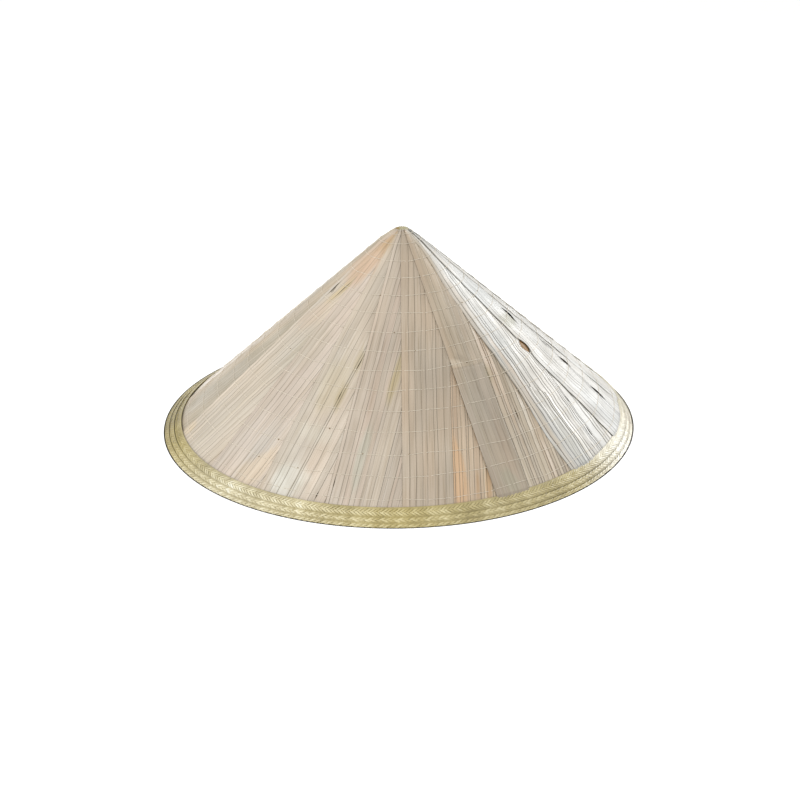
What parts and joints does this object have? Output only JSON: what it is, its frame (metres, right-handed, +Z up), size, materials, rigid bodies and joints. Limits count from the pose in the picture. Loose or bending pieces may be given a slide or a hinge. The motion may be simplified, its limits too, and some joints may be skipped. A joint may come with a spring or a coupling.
{
  "type": "chinese straw hat",
  "caption": "Conical sun hat of overlapping palm leaves sewn over bamboo hoops, open underneath, with a border of plaited straw rows.",
  "frame": {"origin": "centre of the rim, on the surface that the hat rests on", "axes": "+Z up along the cone's axis, -Y towards the hat's front, +X towards its left side as it is worn"},
  "size_m": [0.4186, 0.4186, 0.177],
  "materials": {
    "leaf": "bleached dry palm leaf, satin",
    "inner_leaf": "unbleached dry palm leaf, matt",
    "bamboo": "scraped split bamboo, satin",
    "plait": "flat plaited straw, glossy"
  },
  "bodies": {
    "root": {"leaf_01": "leaf", "leaf_02": "leaf", "leaf_03": "leaf", "leaf_04": "leaf", "leaf_05": "leaf", "leaf_06": "leaf", "leaf_07": "leaf", "leaf_08": "leaf", "leaf_09": "leaf", "leaf_10": "leaf", "leaf_11": "leaf", "leaf_12": "leaf", "leaf_13": "leaf", "leaf_14": "leaf", "leaf_15": "leaf", "leaf_16": "leaf", "leaf_17": "leaf", "tip_cap": "leaf", "inner_layer": "inner_leaf", "tip_hoop": "bamboo", "hoop_01": "bamboo", "hoop_02": "bamboo", "hoop_03": "bamboo", "hoop_04": "bamboo", "hoop_05": "bamboo", "hoop_06": "bamboo", "hoop_07": "bamboo", "hoop_08": "bamboo", "hoop_09": "bamboo", "hoop_10": "bamboo", "hoop_11": "bamboo", "hoop_12": "bamboo", "hoop_13": "bamboo", "hoop_14": "bamboo", "rim_hoop": "bamboo", "plait_upper": "plait", "plait_middle": "plait", "plait_outer": "plait"}
  },
  "joints": []
}
